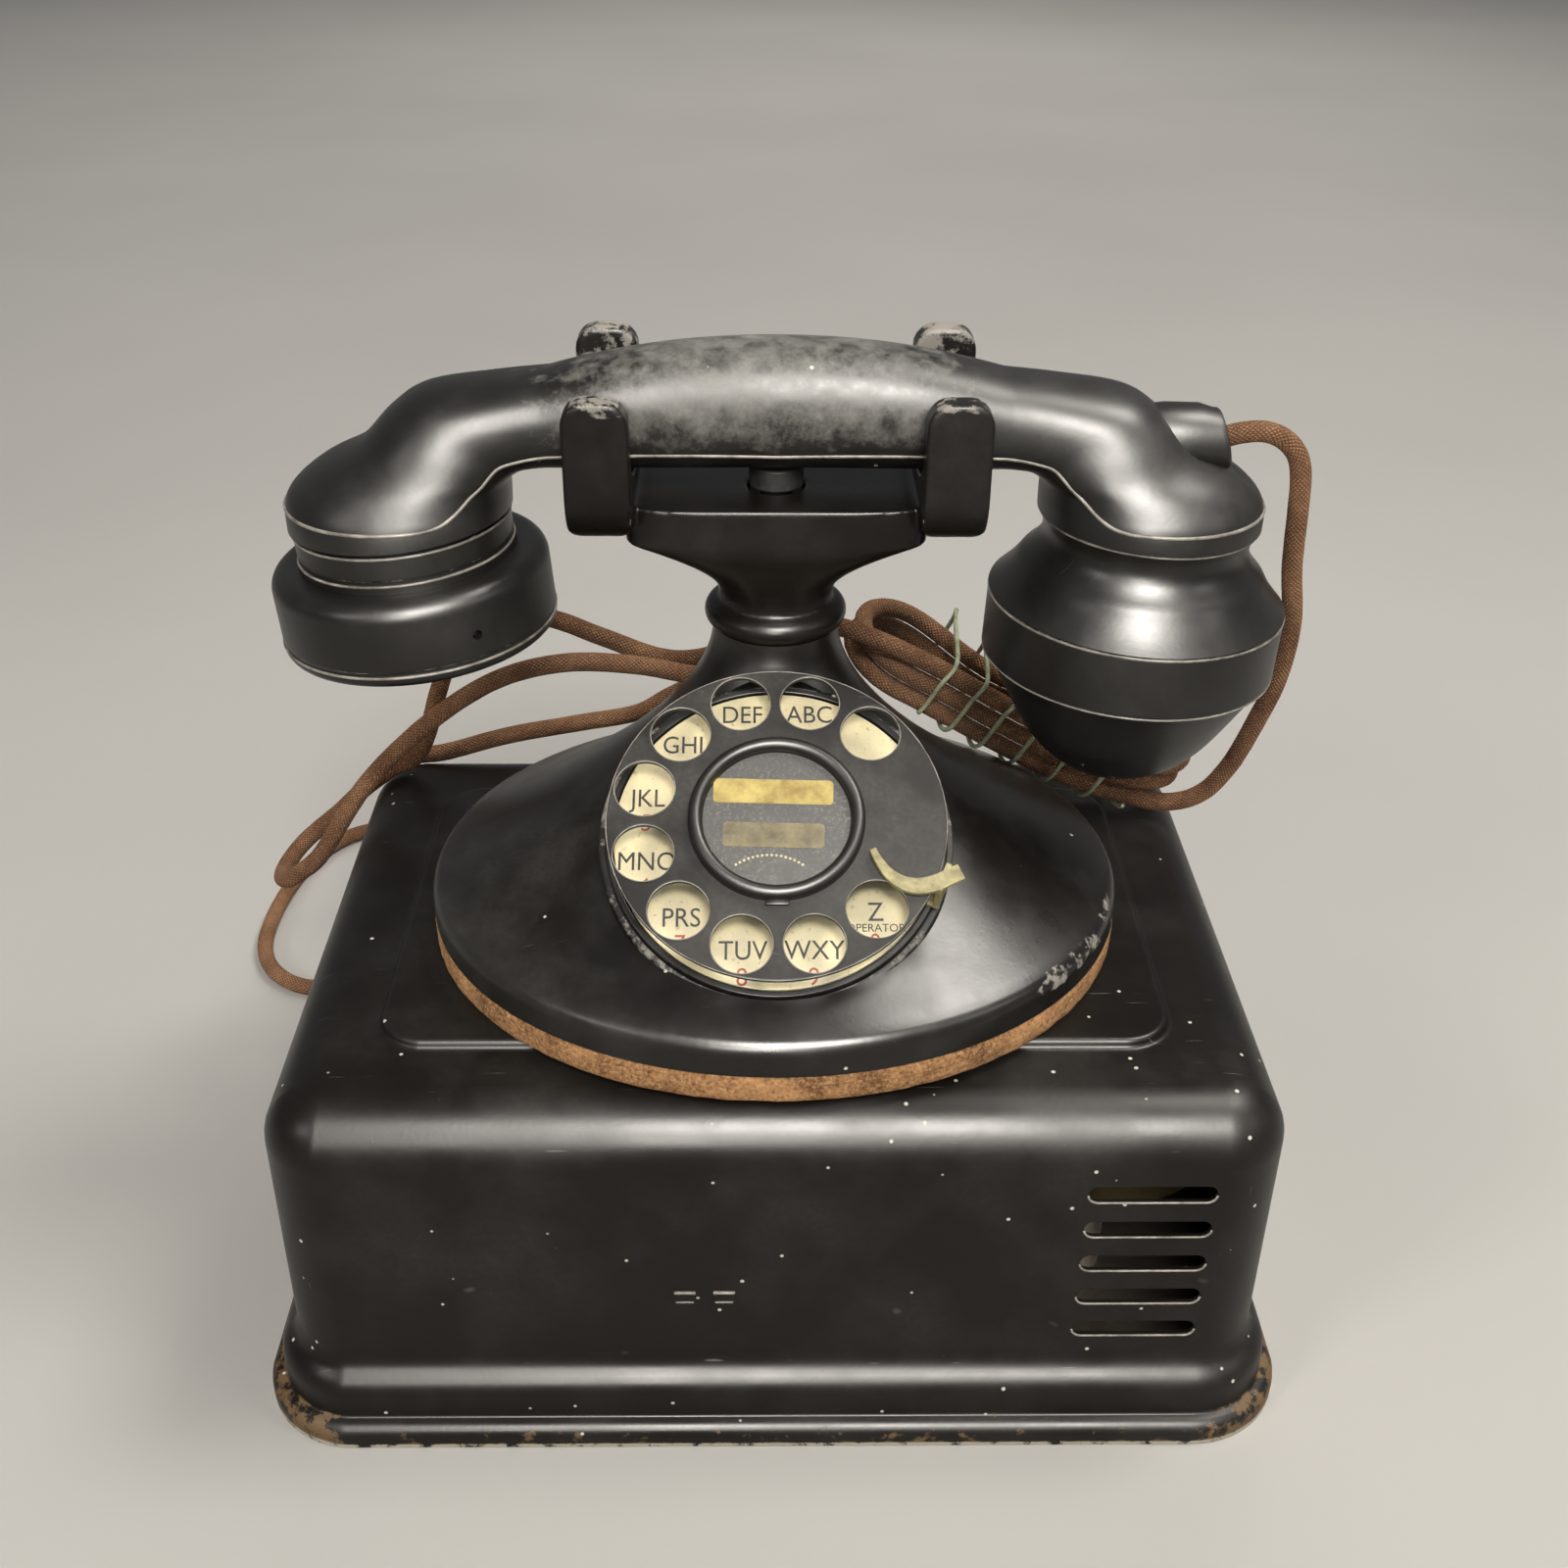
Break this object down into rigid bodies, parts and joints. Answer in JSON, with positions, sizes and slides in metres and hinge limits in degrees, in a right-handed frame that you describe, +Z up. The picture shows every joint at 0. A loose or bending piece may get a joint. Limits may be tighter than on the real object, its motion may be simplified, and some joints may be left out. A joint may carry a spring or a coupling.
{
  "type": "desk telephone",
  "caption": "Black dial telephone with an oval cast base, a pronged cradle and a handset, standing on its slotted steel bell box with brown cloth cords.",
  "frame": {"origin": "on the desk, under the middle of the bell box", "axes": "+Z up, +X to the right seen from the dial side, +Y to the back"},
  "size_m": [0.2864, 0.2616, 0.2233],
  "materials": {
    "japan": "gloss",
    "bakelite": "gloss",
    "steel": "satin",
    "dark_steel": "satin",
    "gong_metal": "satin",
    "brass": "satin",
    "enamel": "gloss",
    "leather": "matt",
    "winding": "matt",
    "fibre": "matt",
    "rubber": "matt",
    "card": "matt",
    "celluloid": "gloss",
    "cloth": "matt",
    "tie": "matt"
  },
  "bodies": {
    "stand": {"box_cover": "japan", "box_base_plate": "dark_steel", "cover_brackets": "dark_steel", "cover_screws": "steel", "ringer_frame": "dark_steel", "ringer_coils": "winding", "ringer_magnet": "dark_steel", "gongs": "gong_metal", "gong_posts": "steel", "gong_screws": "steel", "armature_pin": "steel", "induction_coil": "winding", "condenser": "steel", "terminal_strip": "fibre", "terminal_screws": "brass", "box_cord_bush": "rubber", "leather_sole": "leather", "foot_plate": "dark_steel", "foot_screws": "steel", "base_casting": "japan", "base_cord_bushes": "rubber", "cradle": "japan", "plunger_spring": "steel", "switch_bracket": "dark_steel", "switch_springs": "brass", "dial_case": "japan", "number_plate": "enamel", "finger_stop": "brass", "governor_bridge": "brass", "mainspring_drum": "brass", "handset_cord": "cloth", "handset_cord_hank": "cloth", "handset_cord_loop": "cloth", "hank_tie": "tie", "mounting_cord": "cloth", "mounting_cord_coil": "cloth", "mounting_cord_end": "cloth"},
    "handset": {"handset_handle": "bakelite", "receiver_case": "bakelite", "receiver_unit": "steel", "ear_cap": "bakelite", "transmitter_bell": "bakelite", "transmitter_unit": "steel", "mouthpiece": "bakelite"},
    "dial_rotor": {"finger_wheel": "japan", "card_ring": "bakelite", "number_card": "card", "card_window": "celluloid", "dial_shaft": "steel", "main_gear": "brass"},
    "governor": {"governor_pinion": "steel", "governor_weights": "brass"},
    "plunger": {"plunger": "bakelite"},
    "striker": {"armature": "dark_steel", "clapper": "steel"}
  },
  "joints": [
    {"name": "handset_lift", "type": "slide", "parent": "stand", "child": "handset", "axis": [0, 0, 1], "range_m": [0, 0.06], "deforming": ["handset_cord"]},
    {"name": "plunger_rise", "type": "slide", "parent": "stand", "child": "plunger", "axis": [0, 0, 1], "range_m": [0, 0.006], "deforming": ["plunger_spring"]},
    {"name": "dial_turn", "type": "hinge", "parent": "stand", "child": "dial_rotor", "pos_m": [0, -0.0355, 0.1353], "axis": [0, 0.5388, -0.8425], "range_deg": [0, 330], "stiffness_Nm_per_rad": 0.01},
    {"name": "governor_spin", "type": "hinge", "parent": "stand", "child": "governor", "pos_m": [-0.02284, -0.04447, 0.12956], "axis": [0, 0.5388, -0.8425], "range_deg": [-1700, 0]},
    {"name": "striker_swing", "type": "hinge", "parent": "stand", "child": "striker", "pos_m": [0.046, -0.002, 0.035], "axis": [0, 0, 1], "range_deg": [-2, 2]}
  ],
  "couplings": [
    {"joint": "plunger_rise", "follows": "handset_lift", "ratio": 0.1},
    {"joint": "governor_spin", "follows": "dial_turn", "ratio": -5}
  ]
}
